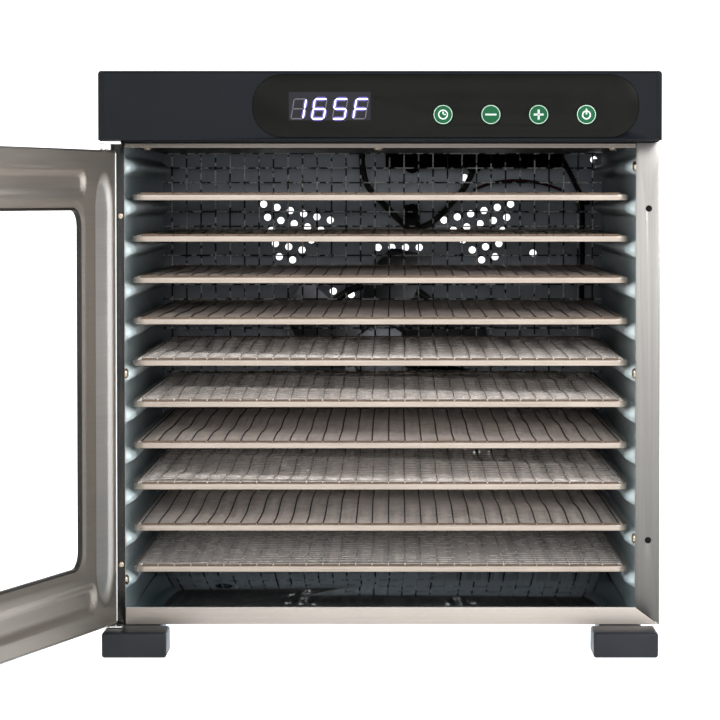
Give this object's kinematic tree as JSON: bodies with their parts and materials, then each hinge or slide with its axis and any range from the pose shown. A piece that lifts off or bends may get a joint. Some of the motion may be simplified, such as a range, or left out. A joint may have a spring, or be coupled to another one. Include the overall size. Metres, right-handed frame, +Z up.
{
  "type": "food dehydrator",
  "caption": "Stainless cabinet food dehydrator with slide-out wire trays, a hinged glass door, a black control head with display and keys, and a rear fan and heater.",
  "frame": {"origin": "on the worktop, below the middle of the bounding box that holds the cabinet and its open door", "axes": "+Z up, front towards -Y, +X to the right seen from the front"},
  "size_m": [0.5598, 0.8882, 0.43],
  "materials": {
    "cabinet_steel": "brushed",
    "base_steel": "polished and brushed",
    "ceiling_steel": "satin",
    "rear_steel": "satin",
    "rack_steel": "satin, pressed",
    "guard_wire": "woven wire",
    "head_plastic": "fine satin",
    "overlay_gloss": "gloss",
    "display_window": "gloss",
    "circuit_board": "solder mask",
    "key_face": "satin print",
    "foot_plastic": "satin",
    "hinge_steel": "polished",
    "bumper_rubber": "matte",
    "door_skin": "brushed",
    "door_liner": "satin, pressed",
    "door_glass": "clear",
    "gasket_rubber": "matte",
    "handle_steel": "satin",
    "magnet_block": "matte",
    "motor_steel": "satin",
    "bracket_steel": "satin",
    "fan_metal": "satin",
    "heater_sheath": "oxidised",
    "terminal_plastic": "matte",
    "cable_rubber": "matte",
    "clip_steel": "plated",
    "gland_plastic": "matte",
    "tray_rim_steel": "bright rolled",
    "tray_wire": "woven wire"
  },
  "bodies": {
    "cabinet": {"left_side_panel": "cabinet_steel", "right_side_panel": "cabinet_steel", "base_panel": "base_steel", "ceiling_panel": "ceiling_steel", "rear_panel": "rear_steel", "left_rack_wall": "rack_steel", "right_rack_wall": "rack_steel", "guard_screen": "guard_wire", "top_cover": "head_plastic", "control_overlay": "overlay_gloss", "display_module": "display_window", "control_board": "circuit_board", "power_board": "circuit_board", "front_left_foot": "foot_plastic", "front_right_foot": "foot_plastic", "rear_left_foot": "foot_plastic", "rear_right_foot": "foot_plastic", "upper_hinge_bracket": "hinge_steel", "lower_hinge_bracket": "hinge_steel", "upper_jamb_bumper": "bumper_rubber", "lower_jamb_bumper": "bumper_rubber", "fan_motor": "motor_steel", "fan_motor_bracket": "bracket_steel", "heating_element": "heater_sheath", "terminal_cover": "terminal_plastic", "fan_cable": "cable_rubber", "cable_clip": "clip_steel", "power_inlet_gland": "gland_plastic"},
    "door": {"door_outer_frame": "door_skin", "door_inner_frame": "door_liner", "door_glass": "door_glass", "glass_gasket": "gasket_rubber", "door_handle": "handle_steel", "upper_door_magnet": "magnet_block", "lower_door_magnet": "magnet_block"},
    "fan": {"fan_rotor": "fan_metal"},
    "tray_1": {"tray_1_rim": "tray_rim_steel", "tray_1_mesh": "tray_wire"},
    "tray_2": {"tray_2_rim": "tray_rim_steel", "tray_2_mesh": "tray_wire"},
    "tray_3": {"tray_3_rim": "tray_rim_steel", "tray_3_mesh": "tray_wire"},
    "tray_4": {"tray_4_rim": "tray_rim_steel", "tray_4_mesh": "tray_wire"},
    "tray_5": {"tray_5_rim": "tray_rim_steel", "tray_5_mesh": "tray_wire"},
    "tray_6": {"tray_6_rim": "tray_rim_steel", "tray_6_mesh": "tray_wire"},
    "tray_7": {"tray_7_rim": "tray_rim_steel", "tray_7_mesh": "tray_wire"},
    "tray_8": {"tray_8_rim": "tray_rim_steel", "tray_8_mesh": "tray_wire"},
    "tray_9": {"tray_9_rim": "tray_rim_steel", "tray_9_mesh": "tray_wire"},
    "tray_10": {"tray_10_rim": "tray_rim_steel", "tray_10_mesh": "tray_wire"},
    "set_key_cap": {"set_key": "key_face"},
    "minus_key_cap": {"minus_key": "key_face"},
    "plus_key_cap": {"plus_key": "key_face"},
    "start_stop_key_cap": {"start_stop_key": "key_face"}
  },
  "joints": [
    {"name": "door_hinge", "type": "hinge", "parent": "cabinet", "child": "door", "pos_m": [-0.13079, -0.04817, 0.2], "axis": [0, 0, -1], "range_deg": [-106, 4.5]},
    {"name": "tray_1_slide", "type": "slide", "parent": "cabinet", "child": "tray_1", "axis": [0, -1, 0], "range_m": [0, 0.4]},
    {"name": "tray_2_slide", "type": "slide", "parent": "cabinet", "child": "tray_2", "axis": [0, -1, 0], "range_m": [0, 0.4]},
    {"name": "tray_3_slide", "type": "slide", "parent": "cabinet", "child": "tray_3", "axis": [0, -1, 0], "range_m": [0, 0.4]},
    {"name": "tray_4_slide", "type": "slide", "parent": "cabinet", "child": "tray_4", "axis": [0, -1, 0], "range_m": [0, 0.4]},
    {"name": "tray_5_slide", "type": "slide", "parent": "cabinet", "child": "tray_5", "axis": [0, -1, 0], "range_m": [0, 0.4]},
    {"name": "tray_6_slide", "type": "slide", "parent": "cabinet", "child": "tray_6", "axis": [0, -1, 0], "range_m": [0, 0.4]},
    {"name": "tray_7_slide", "type": "slide", "parent": "cabinet", "child": "tray_7", "axis": [0, -1, 0], "range_m": [0, 0.4]},
    {"name": "tray_8_slide", "type": "slide", "parent": "cabinet", "child": "tray_8", "axis": [0, -1, 0], "range_m": [0, 0.4]},
    {"name": "tray_9_slide", "type": "slide", "parent": "cabinet", "child": "tray_9", "axis": [0, -1, 0], "range_m": [0, 0.4]},
    {"name": "tray_10_slide", "type": "slide", "parent": "cabinet", "child": "tray_10", "axis": [0, -1, 0], "range_m": [0, 0.4]},
    {"name": "fan_spin", "type": "hinge", "parent": "cabinet", "child": "fan", "pos_m": [0.07191, 0.37383, 0.2007], "axis": [0, 1, 0], "continuous": true},
    {"name": "set_key_press", "type": "slide", "parent": "cabinet", "child": "set_key_cap", "axis": [0, 1, 0], "range_m": [0, 0.0005], "stiffness_N_per_m": 2500},
    {"name": "minus_key_press", "type": "slide", "parent": "cabinet", "child": "minus_key_cap", "axis": [0, 1, 0], "range_m": [0, 0.0005], "stiffness_N_per_m": 2500},
    {"name": "plus_key_press", "type": "slide", "parent": "cabinet", "child": "plus_key_cap", "axis": [0, 1, 0], "range_m": [0, 0.0005], "stiffness_N_per_m": 2500},
    {"name": "start_stop_key_press", "type": "slide", "parent": "cabinet", "child": "start_stop_key_cap", "axis": [0, 1, 0], "range_m": [0, 0.0005], "stiffness_N_per_m": 2500}
  ]
}
